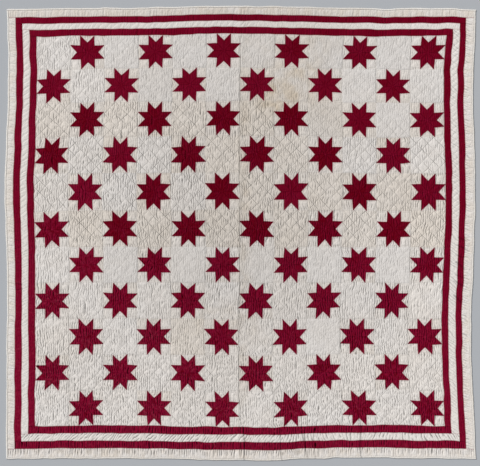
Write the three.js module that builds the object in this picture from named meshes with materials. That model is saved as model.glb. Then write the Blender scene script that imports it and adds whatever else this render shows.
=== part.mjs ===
// A star quilt blanket lying face up, in millimetres.
// X runs along the rows of blocks, +Y points to the top edge, and the flat underside is at Z = 0.
// The origin is under the middle of the quilt's outline.
import * as THREE from "three";

// Field of blocks, with a plain block at the top left and stars and plain blocks taking turns
const BLOCK_WIDTH = 152.4; // a six inch block
const COLUMNS = 12;
const ROW_HEIGHTS = [149, 150, 154, 163, 168, 163, 159, 161, 161, 161, 158]; // from the top row down

// Colours of the cloth
const PIECED = 0xb79d9b; // red stars on white, seen from a step away
const RED = 0x6d0a22;
const WHITE = 0xdad6ce;
const BOUND_WHITE = 0xd2cfc8;
const COTTON_ROUGHNESS = 0.95;

// Border strips, from the field outwards, with the width that each side's strip shows
const STRIPS = [
  { name: "red_inner", left: 30, right: 29, top: 30, bottom: 33, colour: RED },
  { name: "white_middle", left: 31, right: 33, top: 28, bottom: 34, colour: WHITE },
  { name: "red_outer", left: 30, right: 27, top: 28, bottom: 33, colour: RED },
  { name: "white_outer", left: 30, right: 36, top: 31, bottom: 40, colour: WHITE },
  { name: "binding", left: 7, right: 7, top: 7, bottom: 7, colour: BOUND_WHITE },
];

// How far the top and bottom edges lie above a straight line: at the left corner, at each line
// between two columns and at the right corner
const RISE = {
  top: [-6, -7, -2, 0, 0, 3, 8, 9, 6, 3, -1, -5, -4, -2, -7],
  bottom: [-2, 0, 1, 3, 1, -1, -4, -6, -6, 1, 4, 5, 3, 1, -1],
};

// How far the side edges lie to the right of a straight line: at the bottom corner, at each line
// between two rows and at the top corner
const DRIFT = {
  left: [-2, -3, -1, 1, 1, 1, -1, -8, -8, 0, 6, 8, 4, 1],
  right: [10, 4, -4, -11, -12, -5, 1, 7, 6, 2, -3, -2, 8, 10],
};

// Heights of the quilted face above the underside
const SEAM_HEIGHT = 2.6; // along seams and quilting lines
const PATCH_LIFT = 2.1; // the middle of a star's patches above its seams
const PLAIN_LIFT = 2.3; // the middle of a cross-hatched diamond above its lines
const HALF_LIFT = 1.5; // the middle of a triangle that is half such a patch
const STRIP_LIFTS = [2, 0.7, 2]; // along a border strip, from one block line to the next
const BINDING_LIFT = 1.8; // the middle of the folded binding
const UNEVEN = 0.25; // the share by which these lifts differ from place to place
const SCATTER = { x: 0.127, y: 0.311, spread: 43.7 }; // a quick wave, so that neighbours differ

// The crease along the middle seam, where the quilt was kept folded in half
const CREASE_LIFT = 1.1;
const CREASE_HALF_WIDTH = 16;

const SEAM_GAP = 0.3; // between two pieces
const FINENESS = 1000; // points are rounded to this share of a millimetre, so that shared ones are equal

// A block of side 1: the side of an eight-point star's diamonds, the reach of its points from the
// middle, and the quilting steps across a plain block, two to a diamond
const POINTS = 8;
const STAR_SIDE = 1 - Math.SQRT1_2;
const STAR_REACH = Math.hypot(0.5, 0.5 - STAR_SIDE);
const HATCH = 6;

const sum = (values) => values.reduce((total, value) => total + value, 0);
const mix = (from, to, share) => from + (to - from) * share;

// The rectangles that the quilt was cut to: its field, then the outside of each border
const fieldWidth = BLOCK_WIDTH * COLUMNS;
const fieldHeight = sum(ROW_HEIGHTS);
const field = {
  left: -fieldWidth / 2,
  right: fieldWidth / 2,
  bottom: -fieldHeight / 2,
  top: fieldHeight / 2,
};
const rings = [field];
for (const { left, right, bottom, top } of STRIPS) {
  const inner = rings.at(-1);
  rings.push({
    left: inner.left - left,
    right: inner.right + right,
    bottom: inner.bottom - bottom,
    top: inner.top + top,
  });
}
const cut = rings.at(-1);

// Lines between columns, from the left, and between rows, from the bottom
const columnLines = Array.from({ length: COLUMNS + 1 }, (_, k) => field.left + k * BLOCK_WIDTH);
const rowLines = [field.bottom];
for (const height of [...ROW_HEIGHTS].reverse()) rowLines.push(rowLines.at(-1) + height);
const stationsAcross = [cut.left, ...columnLines, cut.right];
const stationsUp = [cut.bottom, ...rowLines, cut.top];

// The value at a place between stations
function between(stations, values, place) {
  let k = 0;
  while (k < stations.length - 2 && place > stations[k + 1]) k += 1;
  return mix(values[k], values[k + 1], (place - stations[k]) / (stations[k + 1] - stations[k]));
}

// Where a point of the cut quilt lies now that its edges wander
function lie(x, y) {
  const up = (y - cut.bottom) / (cut.top - cut.bottom);
  const across = (x - cut.left) / (cut.right - cut.left);
  const rise = mix(between(stationsAcross, RISE.bottom, x), between(stationsAcross, RISE.top, x), up);
  const drift = mix(between(stationsUp, DRIFT.left, y), between(stationsUp, DRIFT.right, y), across);
  return new THREE.Vector2(x + drift, y + rise);
}

// The middle of the wandering outline
const outline = new THREE.Box2();
for (const x of stationsAcross) outline.expandByPoint(lie(x, cut.top)).expandByPoint(lie(x, cut.bottom));
for (const y of stationsUp) outline.expandByPoint(lie(cut.left, y)).expandByPoint(lie(cut.right, y));
const middle = outline.getCenter(new THREE.Vector2());

// A value from -1 to 1 that looks random and is always the same at one place
function chance(x, y) {
  const wave = Math.sin(x * SCATTER.x + y * SCATTER.y) * SCATTER.spread;
  return 2 * (wave - Math.floor(wave)) - 1;
}

// A point of the quilted face, raised above its seams by lift
function facePoint(x, y, lift) {
  const away = Math.min(1, Math.abs(x) / CREASE_HALF_WIDTH);
  const crease = CREASE_LIFT * (1 - away * away);
  const place = lie(x, y).sub(middle);
  const height = SEAM_HEIGHT + crease + lift * (1 + UNEVEN * chance(x, y));
  const rounded = [place.x, place.y, height].map((value) => Math.round(value * FINENESS) / FINENESS);
  return new THREE.Vector3(...rounded);
}

// The closed body under a face. Its rim is the face's edge, counterclockwise from above.
function body(face, rim) {
  const floor = rim.map((p) => new THREE.Vector3(p.x, p.y, 0));
  const corners = [...face];
  for (const [k, p] of rim.entries()) {
    const next = (k + 1) % rim.length;
    corners.push(floor[k], floor[next], rim[next], floor[k], rim[next], p);
  }
  for (const [a, b, c] of THREE.ShapeUtils.triangulateShape(floor, [])) {
    corners.push(floor[a], floor[c], floor[b]);
  }
  return new THREE.BufferGeometry().setFromPoints(corners);
}

// Patches of an eight-point star in a block of side 1, each with its corners counterclockwise
function starPatches() {
  const at = (reach, turn) => {
    const angle = (turn * 2 * Math.PI) / POINTS;
    return [0.5 + reach * Math.cos(angle), 0.5 + reach * Math.sin(angle)];
  };
  const patches = [];
  for (let k = 0; k < POINTS; k += 1) {
    const notch = at(STAR_SIDE, k);
    const tips = [at(STAR_REACH, k - 0.5), at(STAR_REACH, k + 0.5)];
    patches.push({ corners: [[0.5, 0.5], notch, tips[1], at(STAR_SIDE, k + 1)], lift: PATCH_LIFT });
    if (k % 2) patches.push({ corners: [notch, tips[0], at(Math.SQRT1_2, k), tips[1]], lift: PATCH_LIFT });
    else patches.push({ corners: [notch, ...tips], lift: HALF_LIFT });
  }
  return patches;
}

// Cross-hatched diamonds of a plain block of side 1. Their lines meet the edges where star points do.
function plainPatches() {
  const onEdge = (k) => k === 0 || k === HATCH;
  const along = (k, edge) => {
    if (edge && !onEdge(k)) return k < HATCH / 2 ? STAR_SIDE : 1 - STAR_SIDE;
    return k / HATCH;
  };
  const patches = [];
  for (let i = 0; i <= HATCH; i += 1) {
    for (let j = (i + 1) % 2; j <= HATCH; j += 2) {
      const round = [[i + 1, j], [i, j + 1], [i - 1, j], [i, j - 1]];
      const corners = round
        .filter((spot) => spot.every((k) => k >= 0 && k <= HATCH))
        .map(([u, v]) => [along(u, onEdge(v)), along(v, onEdge(u))]);
      patches.push({ corners, lift: corners.length === round.length ? PLAIN_LIFT : HALF_LIFT });
    }
  }
  return patches;
}

// Triangles from each side of a patch to its raised middle
function puff(corners, lift) {
  const low = corners.map(([x, y]) => facePoint(x, y, 0));
  const x = sum(corners.map((corner) => corner[0])) / corners.length;
  const y = sum(corners.map((corner) => corner[1])) / corners.length;
  const top = facePoint(x, y, lift);
  return low.flatMap((p, k) => [p, low[(k + 1) % low.length], top]);
}

// The pieced and quilted field. Its blocks are counted from the bottom left.
function fieldBody() {
  const inset = SEAM_GAP / 2;
  const clamp = THREE.MathUtils.clamp;
  const inField = (x, y) => [
    clamp(x, field.left + inset, field.right - inset),
    clamp(y, field.bottom + inset, field.top - inset),
  ];
  const kinds = [plainPatches(), starPatches()];
  const face = [];
  ROW_HEIGHTS.forEach((_, row) => {
    for (let column = 0; column < COLUMNS; column += 1) {
      for (const { corners, lift } of kinds[(row + column) % 2]) {
        const placed = corners.map(([u, v]) =>
          inField(
            mix(columnLines[column], columnLines[column + 1], u),
            mix(rowLines[row], rowLines[row + 1], v),
          ),
        );
        face.push(...puff(placed, lift));
      }
    }
  });
  const steps = [0, STAR_SIDE, 1 - STAR_SIDE];
  const split = (lines) =>
    lines.slice(0, -1).flatMap((line, k) => steps.map((share) => mix(line, lines[k + 1], share)));
  const across = split(columnLines);
  const up = split(rowLines);
  const rim = [
    ...across.map((x) => [x, field.bottom]),
    ...up.map((y) => [field.right, y]),
    ...across.map((x) => [-x, field.top]),
    ...[...up.slice(1), field.top].reverse().map((y) => [field.left, y]),
  ];
  return body(face, rim.map(([x, y]) => facePoint(...inField(x, y), 0)));
}

// A long straight piece: its ends and the block lines that it crosses, and where a point of it lies,
// from s along the piece and t across it, 0 to 1 to the left of the way that s runs
function longPiece(rect) {
  const inset = SEAM_GAP / 2;
  const [left, right, bottom, top] = [
    rect.left + inset,
    rect.right - inset,
    rect.bottom + inset,
    rect.top - inset,
  ];
  const level = right - left > top - bottom;
  const [start, end, lines] = level ? [left, right, columnLines] : [bottom, top, rowLines];
  const at = (s, t) => (level ? [s, mix(bottom, top, t)] : [mix(right, left, t), s]);
  return { at, stations: [start, ...lines.filter((line) => line > start && line < end), end] };
}

// A border strip, quilted across at each block line and puffed between
function stripBody(rect) {
  const { at, stations } = longPiece(rect);
  const edges = [0, 1].map((t) => stations.map((s) => facePoint(...at(s, t), 0)));
  const face = [];
  for (let k = 0; k < stations.length - 1; k += 1) {
    const [a, b] = [edges[0][k], edges[0][k + 1]];
    const [c, d] = [edges[1][k + 1], edges[1][k]];
    const crown = STRIP_LIFTS.map((lift, i) => {
      const s = mix(stations[k], stations[k + 1], (i + 1) / (STRIP_LIFTS.length + 1));
      return facePoint(...at(s, 0.5), lift);
    });
    const [first, dip, last] = crown;
    face.push(d, a, first, b, c, last);
    face.push(a, dip, first, a, b, dip, b, last, dip);
    face.push(d, first, dip, c, d, dip, c, dip, last);
  }
  return body(face, [...edges[0], ...edges[1].reverse()]);
}

// The binding, rounded over the quilt's edge
function bindingBody(rect) {
  const { at, stations } = longPiece(rect);
  const [low, crown, high] = [0, 0.5, 1].map((t) =>
    stations.map((s) => facePoint(...at(s, t), t === 0.5 ? BINDING_LIFT : 0)),
  );
  const face = [];
  for (let k = 0; k < stations.length - 1; k += 1) {
    for (const [near, far] of [[low, crown], [crown, high]]) {
      face.push(near[k], near[k + 1], far[k + 1], near[k], far[k + 1], far[k]);
    }
  }
  return body(face, [...low, crown.at(-1), ...high.reverse(), crown[0]]);
}

function piece(name, geometry, colour) {
  const finish = { color: colour, roughness: COTTON_ROUGHNESS, metalness: 0 };
  const material = new THREE.MeshStandardMaterial(finish);
  const mesh = new THREE.Mesh(geometry, material);
  mesh.name = name;
  return mesh;
}

const quilt = new THREE.Group();
quilt.add(piece("field", fieldBody(), PIECED));

// Side strips are as long as what they are sewn to, and top and bottom strips run across their ends
for (const [k, { name, colour }] of STRIPS.entries()) {
  const [inner, outer] = [rings[k], rings[k + 1]];
  const rects = {
    left: { ...inner, left: outer.left, right: inner.left },
    right: { ...inner, left: inner.right, right: outer.right },
    top: { ...outer, bottom: inner.top },
    bottom: { ...outer, top: inner.bottom },
  };
  const make = name === "binding" ? bindingBody : stripBody;
  for (const [side, rect] of Object.entries(rects)) quilt.add(piece(`${name}_${side}`, make(rect), colour));
}

export default quilt;
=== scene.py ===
import math
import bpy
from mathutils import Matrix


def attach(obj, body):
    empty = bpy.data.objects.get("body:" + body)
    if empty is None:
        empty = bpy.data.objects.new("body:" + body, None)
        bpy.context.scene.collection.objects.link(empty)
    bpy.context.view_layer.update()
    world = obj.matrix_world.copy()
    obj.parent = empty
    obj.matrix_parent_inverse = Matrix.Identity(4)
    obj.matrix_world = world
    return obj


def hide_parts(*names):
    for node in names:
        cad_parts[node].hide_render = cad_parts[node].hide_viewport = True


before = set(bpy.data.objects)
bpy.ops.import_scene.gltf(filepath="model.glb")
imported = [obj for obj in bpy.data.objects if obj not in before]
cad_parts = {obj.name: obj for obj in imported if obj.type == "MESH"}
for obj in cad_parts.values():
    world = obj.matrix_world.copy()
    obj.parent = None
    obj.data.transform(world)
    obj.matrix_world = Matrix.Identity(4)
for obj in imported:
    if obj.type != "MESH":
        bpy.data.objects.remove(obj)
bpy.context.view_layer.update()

from types import SimpleNamespace

import bpy
import numpy as np
from mathutils import Vector
from mathutils.bvhtree import BVHTree

# The quilt as it was cut, in millimetres: X along the rows of blocks, Y towards the top edge
MM = 0.001
BLOCK_WIDTH = 152.4
COLUMNS = 12
ROW_HEIGHTS = [149, 150, 154, 163, 168, 163, 159, 161, 161, 161, 158]  # from the top row down
ROWS = len(ROW_HEIGHTS)

# Border strips from the field outwards: widths on the four sides
SIDES = ["left", "right", "top", "bottom"]
STRIPS = {
    "red_inner": (30, 29, 30, 33),
    "white_middle": (31, 33, 28, 34),
    "red_outer": (30, 27, 28, 33),
    "white_outer": (30, 36, 31, 40),
    "binding": (7, 7, 7, 7),
}

# How far the top and bottom edges lie above a straight line, and the sides to the right of one
RISE_TOP = [-6, -7, -2, 0, 0, 3, 8, 9, 6, 3, -1, -5, -4, -2, -7]
RISE_BOTTOM = [-2, 0, 1, 3, 1, -1, -4, -6, -6, 1, 4, 5, 3, 1, -1]
DRIFT_LEFT = [-2, -3, -1, 1, 1, 1, -1, -8, -8, 0, 6, 8, 4, 1]
DRIFT_RIGHT = [10, 4, -4, -11, -12, -5, 1, 7, 6, 2, -3, -2, 8, 10]

# Star of a block of side 1
POINTS = 8
STAR_SIDE = 1 - math.sqrt(0.5)
FULLER = 1.015  # the notches lie a little further out than in an exact star
STAR_REACH = math.hypot(0.5, 0.5 - STAR_SIDE)

# Relief of the quilted face, in millimetres
SEAM_HEIGHT = 2.6
LOWEST = 1.3  # no fold goes through to the backing
CREASE_LIFT, CREASE_HALF_WIDTH = 1.1, 16
PUFF_SOFTNESS = 3.4  # how quickly the cloth rises from a line of stitches
DIAMOND_PUFF, SQUARE_PUFF, TRIANGLE_PUFF, PLAIN_PUFF, STRIP_PUFF = 1.5, 1.5, 1.3, 1.6, 1.1
SEAM_RISE, SEAM_SOFTNESS = 0.9, 1.8  # a seam between two patches is a shallow groove
TUCK_EVERY, TUCK_DEPTH = 9.8, 2.1  # the small folds that the shrunken cloth is drawn into
ECHO = 6.4  # quilting a quarter inch inside each patch of a star
HATCHES = 3  # quilting lines each way to a plain block's side

# Fineness of the meshes
DIAMOND_CELLS, SQUARE_CELLS, TRIANGLE_CELLS = 9, 8, 13
PLAIN_ACROSS, PLAIN_UP = 36, 21  # narrow and tall, as the ripples run from top to bottom
STRIP_ALONG, STRIP_ACROSS = 3.5, 8.6
BACKING_CELLS, BACKING_STEP, LINE_STEP = 12, 13, 4.0

# Plain blocks that have yellowed or that lie smoother, as (column, row from the top)
CREAM_BLOCKS = [
    (0, 2), (2, 2), (4, 2), (6, 2), (8, 2), (6, 4), (10, 4), (1, 5), (3, 5), (5, 5), (7, 5),
    (9, 5), (11, 5), (4, 8), (5, 3), (7, 3), (8, 4),
]
SMOOTH_BLOCKS = [
    (2, 0), (4, 0), (6, 0), (8, 0), (10, 0), (3, 1), (5, 1), (7, 1), (9, 1), (11, 1),
    (8, 2), (10, 2), (2, 6), (4, 6), (6, 6), (8, 6), (10, 6), (8, 8),
]

# Stars cut from a deeper red, as (column, row from the top)
DEEP_STARS = [
    (1, 2), (3, 2), (5, 2), (7, 2), (0, 3), (4, 3), (6, 3), (8, 3), (3, 4), (5, 4), (9, 4),
    (2, 5), (4, 5), (6, 5), (8, 5), (10, 5),
]

# Places where the cloth has gone beige: X, Y, reach across, reach up, strength
STAINS = [
    (190, 615, 90, 70, 1.5),
    (250, 715, 120, 75, 0.8),
    (140, 555, 55, 45, 1.2),
    (240, 840, 170, 70, 0.5),
    (340, 620, 80, 70, 0.6),
    (20, 100, 26, 950, 0.45),
    (-60, -420, 160, 130, 0.35),
]

# Creases pressed in by folding: points from end to end, depth and half width
CREASES = [
    ([(181, -880), (178, -950), (183, -1020)], 1.2, 2.4),
    ([(276, -873), (284, -945), (296, -1015)], 1.6, 2.8),
    ([(331, -900), (328, -960), (332, -1018)], 1.1, 2.2),
    ([(535, -850), (541, -905), (530, -960), (537, -1020)], 1.7, 2.8),
    ([(14, -872), (20, -940), (15, -1020)], 1.4, 2.6),
    ([(975, -28), (1012, -42)], 1.0, 3.0),
    ([(974, -62), (1010, -78)], 1.1, 3.0),
    ([(972, -108), (1008, -120)], 1.0, 3.0),
    ([(970, -140), (1008, -170)], 1.3, 3.4),
    ([(970, -196), (1006, -208)], 0.9, 3.0),
    ([(968, -226), (1004, -244)], 1.2, 3.0),
    ([(966, -286), (1000, -318)], 1.4, 3.4),
    ([(-1000, -232), (-972, -240)], 1.0, 3.0),
    ([(-1000, -262), (-972, -255)], 1.0, 3.0),
    ([(-4, 860), (2, 640), (-3, 420), (4, 150), (-2, -120), (5, -420), (0, -700), (6, -860)], 0.7, 2.6),
]

# Quilting across the borders: how far apart the lines are and how far they lean
STRIP_LINES = {
    "red_inner": (36, 0.12),
    "white_middle": (27, 0.85),
    "red_outer": (36, -0.1),
    "white_outer": (29, 0.08),
}

# Small folds across the borders on the four sides: how far apart, how far they lean and how deep they are
STRIP_TUCKS = {
    "red_inner": [(10.0, 0.3, 0.5), (10.0, -0.3, 0.5), (11.0, 0.1, 0.35), (9.5, 0.05, 1.4)],
    "white_middle": [(13.0, -0.5, 0.28), (14.0, 0.7, 0.48), (10.0, 0.3, 0.2), (14.0, 0.9, 0.95)],
    "red_outer": [(10.0, 0.2, 0.45), (10.0, -0.2, 0.5), (11.0, 0.0, 0.3), (9.5, 0.0, 1.5)],
    "white_outer": [(12.0, 0.3, 0.36), (11.0, 0.35, 0.52), (9.5, 0.1, 0.4), (8.6, 0.05, 1.25)],
}

STITCH_EVERY, STITCH_LENGTH, STITCH_WIDTH, STITCH_HEIGHT, STITCH_LIFT = 5.2, 2.9, 0.75, 0.5, 0.05
SHORT_OF_SEAM = 0.015  # sewn lines of a plain block stop this share of its side before the seam
STRIP_CLEAR, STRIP_END_CLEAR = 2, 3  # and those across a border this far before its seams and its ends

# Painted shade that the finishes draw along folds, quilting lines, seams and column seams, and the band where
# red shows through: half widths as a share of the spacing for folds and hatching, and otherwise in
# millimetres
FOLD_MARK, HATCH_MARK = 0.31, 0.038
ECHO_MARK, SEAM_MARK, COLUMN_MARK, RED_MARK = 1.6, 2.3, 1.7, 3.6
ECHO_SHADE, COLUMN_SHADE, CREASE_SHADE = 0.4, 0.55, 0.4  # how dark the painted shade along echo lines, column seams and creases is, from 0 to 1
# Colour of red showing through white beside its seams, darkened with painted seam shade
SHOWN_RED_AND_SEAM_SHADE = (0.50, 0.23, 0.25)
THREADS_PER_METRE = 1900

# Where the cloth is livelier or calmer than the rest: its middle and how far it reaches
LOWER_LEFT = ((-900, -820), (480, 380))
UPPER_RIGHT = ((760, 280), (360, 220))

FAR = 99.0  # from any line
NO_LINES = (0.5, 0.5)  # halfway between two quilting lines, both ways
INWARD = dict(zip(SIDES, (-1, 1, -1, 1)))  # which way across a border the field lies

# The folded binding: how far in from the quilt's edge and how high each point of its section is
BINDING_SECTION = [
    (7.0, 2.4), (6.2, 3.2), (4.8, 3.9), (3.0, 4.0), (1.4, 3.5), (0.3, 2.5), (0.0, 1.5), (0.5, 0.6),
    (1.6, 0.1), (4.0, 0.0), (7.4, 0.15),
]
BINDING_REACH, BINDING_TOP = 7.4, 4  # how far in and how high the section goes
BINDING_CUT, BINDING_STEP = 18, 4.5  # how wide the band was cut, and the length of a cell of its mesh
BINDING_SEEDS = dict(zip(SIDES, (61, 62, 63, 64)))
UNDER_BINDING = 2  # how far the backing reaches under the binding


# Where the cloth lies

def grow(rect, widths):
    left, right, top, bottom = widths
    return rect[0] - left, rect[1] + right, rect[2] - bottom, rect[3] + top


field_width, field_height = BLOCK_WIDTH * COLUMNS, sum(ROW_HEIGHTS)
rings = [(-field_width / 2, field_width / 2, -field_height / 2, field_height / 2)]
for widths in STRIPS.values():
    rings.append(grow(rings[-1], widths))
field, cut = rings[0], rings[-1]
column_lines = field[0] + BLOCK_WIDTH * np.arange(COLUMNS + 1)
row_lines = field[2] + np.concatenate([[0], np.cumsum(ROW_HEIGHTS[::-1])])
stations_across = np.array([cut[0], *column_lines, cut[1]])
stations_up = np.array([cut[2], *row_lines, cut[3]])


def noise(x, y, step_x, step_y, seed):
    """Smooth uneven values from -1 to 1, a new one at every step across and up."""
    size = 512
    values = np.random.default_rng(seed).uniform(-1, 1, (size, size))
    gx, gy = np.asarray(x) / step_x + size / 2, np.asarray(y) / step_y + size / 2
    i, j = np.floor(gx).astype(int), np.floor(gy).astype(int)
    s, t = gx - i, gy - j
    s, t = s * s * s * (s * (s * 6 - 15) + 10), t * t * t * (t * (t * 6 - 15) + 10)
    i, j, i_next, j_next = i % size, j % size, (i + 1) % size, (j + 1) % size
    low = values[j, i] * (1 - s) + values[j, i_next] * s
    high = values[j_next, i] * (1 - s) + values[j_next, i_next] * s
    return low * (1 - t) + high * t


def near(distance, reach):
    """1 at no distance, fading to 0 beyond the reach."""
    return np.exp(-((distance / reach) ** 2))


def around(x, y, place, reach):
    """1 at a place, fading to 0 around it."""
    return np.exp(-(((x - place[0]) / reach[0]) ** 2) - ((y - place[1]) / reach[1]) ** 2)


def from_whole(phase):
    return np.abs(phase - np.round(phase))


def inside(x, y, rect):
    """Distance from points inside a rectangle to its edge."""
    left, right, low, high = rect
    return np.minimum(np.minimum(x - left, right - x), np.minimum(y - low, high - y))


def by_height(y, *steps):
    """A value that changes from the bottom up, through (Y, value) pairs."""
    return np.interp(y, *np.transpose(steps))


def straight_lie(x, y):
    """Where a point of the cut quilt lies now that its edges wander."""
    up = (y - cut[2]) / (cut[3] - cut[2])
    across = (x - cut[0]) / (cut[1] - cut[0])
    low, high = np.interp(x, stations_across, RISE_BOTTOM), np.interp(x, stations_across, RISE_TOP)
    left, right = np.interp(y, stations_up, DRIFT_LEFT), np.interp(y, stations_up, DRIFT_RIGHT)
    return x + left + (right - left) * across, y + low + (high - low) * up


edges = [(stations_across, np.full(len(stations_across), y)) for y in cut[2:]]
edges += [(np.full(len(stations_up), x), stations_up) for x in cut[:2]]
edge_x, edge_y = straight_lie(*np.hstack(edges))
middle = ((edge_x.min() + edge_x.max()) / 2, (edge_y.min() + edge_y.max()) / 2)


def lie(x, y):
    """The place of the sewn cloth, with the small errors of piecing by hand."""
    hand_x = 2.2 * noise(x, y, 72, 72, 1) + 1.3 * noise(x, y, 38, 38, 2)
    hand_y = 2.2 * noise(x, y, 72, 72, 3) + 1.3 * noise(x, y, 38, 38, 4)
    placed_x, placed_y = straight_lie(x + hand_x, y + hand_y)
    return placed_x - middle[0], placed_y - middle[1]


def hand(x, y):
    """How far a hand-sewn line strays from its mark."""
    return 0.9 * noise(x, y, 22, 22, 5), 0.9 * noise(x, y, 22, 22, 6)


# Relief

def to_segments(x, y, points):
    """Distance to a line through points."""
    nearest = np.full(np.shape(x), 1e9)
    for (ax, ay), (bx, by) in zip(points, points[1:]):
        dx, dy = bx - ax, by - ay
        share = np.clip(((x - ax) * dx + (y - ay) * dy) / (dx * dx + dy * dy), 0, 1)
        nearest = np.minimum(nearest, np.hypot(x - ax - share * dx, y - ay - share * dy))
    return nearest


def pebbly(y):
    """1 where the bottom of the quilt has dried into short, broken folds."""
    return by_height(y, (-1020, 1.0), (-620, 0.9), (-260, 0.1), (1020, 0.0))


def field_tucks(x, y):
    """Counts the small upright folds of the shrunken cloth, and how far each is drawn in, about 0 to 1."""
    stray = 5.5 * noise(x, y, 34, 40, 11) + 2.6 * noise(x, y, 13, 15, 12)
    long, short = noise(x + stray, y, 8, 14, 13), noise(x + stray, y, 8, 8.5, 15)
    drawn = 0.62 + long + pebbly(y) * (1.15 * short - long) + 0.15 * noise(x, y, 60, 60, 14)
    return (x + stray) / TUCK_EVERY, np.clip(drawn, 0.05, 1.1)


def puckers(phase, drawn):
    """Height of the folded cloth beside its own level, about -1 to 0.3."""
    return 0.3 - 1.3 * drawn * near(from_whole(phase), 0.2)


def by_corner(x, y):
    """How much more the lower left has shrunk into folds, and how much less the upper right."""
    return 0.35 * around(x, y, *LOWER_LEFT) - 0.25 * around(x, y, *UPPER_RIGHT)


def liveliness(x, y):
    """How far the cloth has shrunk into folds: the top and the upper right have kept smoother."""
    folded = by_height(y, (-1020, 1.0), (450, 0.95), (640, 0.55), (1020, 0.5))
    return folded + 0.15 * noise(x, y, 120, 120, 17) + by_corner(x, y)


def sewn_tight(x, y):
    """How far the quilting is drawn in: most across the upper middle, least below it."""
    lower = [(-1020, 0.62), (-600, 0.6), (-300, 0.36), (-120, 0.45)]
    upper = [(0, 1.05), (460, 1.05), (620, 0.55), (1020, 0.5)]
    tight = by_height(y, *lower, *upper) - 0.2 * around(x, y, *UPPER_RIGHT)
    return np.clip(tight + 0.25 * noise(x, y, 90, 90, 19), 0.05, 1.2)


def from_column_seam(x):
    return np.abs(x - column_lines[np.abs(np.asarray(x)[..., None] - column_lines).argmin(-1)])


def crease_depth(x, y):
    depth = np.zeros(np.shape(x))
    for points, deep, width in CREASES:
        depth += deep * near(to_segments(x, y, points), width)
    return depth


def face_height(x, y, seam, line, puff, tucks):
    """Height of the quilted face above the floor, in millimetres."""
    ridge = CREASE_LIFT * (1 - np.clip(np.abs(x) / CREASE_HALF_WIDTH, 0, 1) ** 2)
    low = SEAM_HEIGHT + ridge + 0.25 * noise(x, y, 130, 130, 21)
    low = low - 0.5 * near(from_column_seam(x), 2.2)
    pulled = np.clip(0.6 + 0.4 * sewn_tight(x, y) + 0.25 * noise(x, y, 45, 45, 23), 0.2, 1)
    rise = puff * (1 - pulled * np.exp(-line / PUFF_SOFTNESS)) * (1 + 0.3 * noise(x, y, 60, 60, 22))
    at_seam = np.exp(-seam / SEAM_SOFTNESS)
    rise = rise * (1 - at_seam) + SEAM_RISE * at_seam
    free = (1 - np.exp(-seam / 3)) * (0.6 + 0.4 * (1 - np.exp(-line / 3)))
    small = 0.3 * noise(x, y, 9, 21, 18) + 0.55 * pebbly(y) * noise(x, y, 8, 8, 16)
    height = low + rise + free * (TUCK_DEPTH * puckers(tucks[0], np.minimum(tucks[1], 1.1)) + small)
    return np.maximum(height - crease_depth(x, y), LOWEST)


# Meshes

def crossed_cells(across, up):
    """Triangles of a grid of cells, each crossed from corner to corner."""
    i, j = np.meshgrid(np.arange(across), np.arange(up))
    a = (j * (across + 1) + i).ravel()
    b, c, d = a + 1, a + across + 2, a + across + 1
    centre = (across + 1) * (up + 1) + np.arange(across * up)
    sides = [(a, b), (b, c), (c, d), (d, a)]
    return np.concatenate([np.stack([p, q, centre], 1) for p, q in sides])


def cushion_grid(corners, across, up):
    """Points and triangles that fill four corners, listed counterclockwise."""
    a, b, c, d = (np.array(corner, float) for corner in corners)

    def spots(across_shares, up_shares):
        s, t = np.meshgrid(across_shares, up_shares)
        s, t = s.ravel()[:, None], t.ravel()[:, None]
        return (1 - s) * (1 - t) * a + s * (1 - t) * b + s * t * c + (1 - s) * t * d

    lines = spots(np.arange(across + 1) / across, np.arange(up + 1) / up)
    centres = spots((np.arange(across) + 0.5) / across, (np.arange(up) + 0.5) / up)
    return np.vstack([lines, centres]), crossed_cells(across, up)


def triangle_grid(corners, cells):
    """Points and triangles that fill three corners, listed counterclockwise."""
    a, b, c = (np.array(corner, float) for corner in corners)
    points, index = [], {}
    for j in range(cells + 1):
        for i in range(cells + 1 - j):
            index[i, j] = len(points)
            points.append(a + (b - a) * i / cells + (c - a) * j / cells)
    triangles = []
    for j in range(cells):
        for i in range(cells - j):
            triangles.append((index[i, j], index[i + 1, j], index[i, j + 1]))
            if i + j < cells - 1:
                triangles.append((index[i + 1, j], index[i + 1, j + 1], index[i, j + 1]))
    return np.array(points), np.array(triangles)


def sheet_grid(xs, ys):
    """Points and triangles of a sheet with the given stations across and up."""
    x, y = np.meshgrid(xs, ys)
    mid_x, mid_y = np.meshgrid((xs[1:] + xs[:-1]) / 2, (ys[1:] + ys[:-1]) / 2)
    points = np.stack([np.append(x, mid_x), np.append(y, mid_y)], 1)
    return points, crossed_cells(len(xs) - 1, len(ys) - 1)


def set_points(mesh, *coordinates):
    """Gives a mesh its points from their X, Y and Z."""
    if not mesh.vertices:
        mesh.vertices.add(len(coordinates[0]))
    mesh.vertices.foreach_set("co", np.stack(coordinates, 1).astype(np.float32).ravel())


def make_mesh(name, points, triangles):
    mesh = bpy.data.meshes.new(name)
    set_points(mesh, *np.transpose(points))
    mesh.loops.add(3 * len(triangles))
    mesh.loops.foreach_set("vertex_index", np.asarray(triangles, np.int32).ravel())
    mesh.polygons.add(len(triangles))
    mesh.polygons.foreach_set("loop_start", np.arange(len(triangles), dtype=np.int32) * 3)
    mesh.update(calc_edges=True)
    return mesh


def note(mesh, name, values):
    """Keeps a value for each point, for the finishes to read."""
    if name in mesh.attributes:
        mesh.attributes.remove(mesh.attributes[name])
    mesh.attributes.new(name, "FLOAT", "POINT").data.foreach_set("value", np.asarray(values, np.float32))


def read(mesh, name):
    data = mesh.attributes[name].data
    values = np.zeros(len(data), np.float32)
    data.foreach_get("value", values)
    return values.astype(float)


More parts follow.
